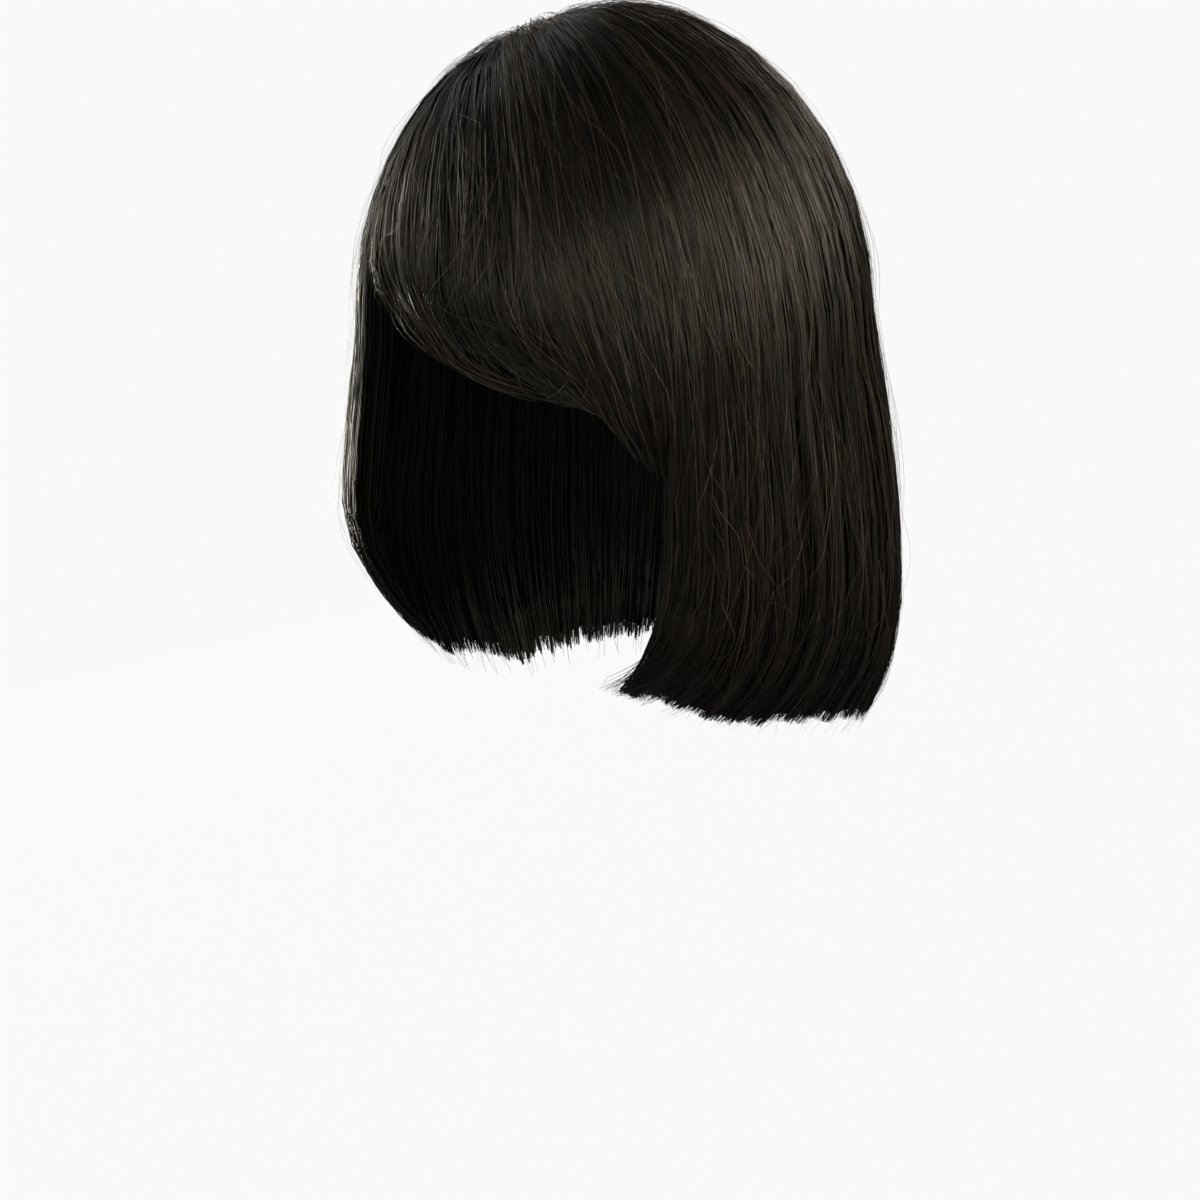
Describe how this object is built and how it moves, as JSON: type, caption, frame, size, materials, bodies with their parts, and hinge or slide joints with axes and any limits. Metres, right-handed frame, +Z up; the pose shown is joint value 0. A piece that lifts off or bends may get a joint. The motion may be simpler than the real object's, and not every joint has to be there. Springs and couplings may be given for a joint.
{
  "type": "bob wig",
  "caption": "Straight dark bob wig with a side parting, a fringe swept over the forehead and tips that turn in at the neck, as a hollow shell of hair on a soft cap.",
  "frame": {"origin": "the crown of the head inside the cap, where the wig rests on a head", "axes": "+Z up along the head, -Y the way the face looks, +X the wearer's left"},
  "size_m": [0.2199, 0.2215, 0.3169],
  "materials": {
    "hair": "straight dark brown hair, soft satin sheen along the strands",
    "cap_net": "matt black stretch net"
  },
  "bodies": {
    "root": {"cap": "cap_net", "fringe": "hair", "left_side_hair": "hair", "back_hair": "hair", "right_side_hair": "hair"}
  },
  "joints": []
}
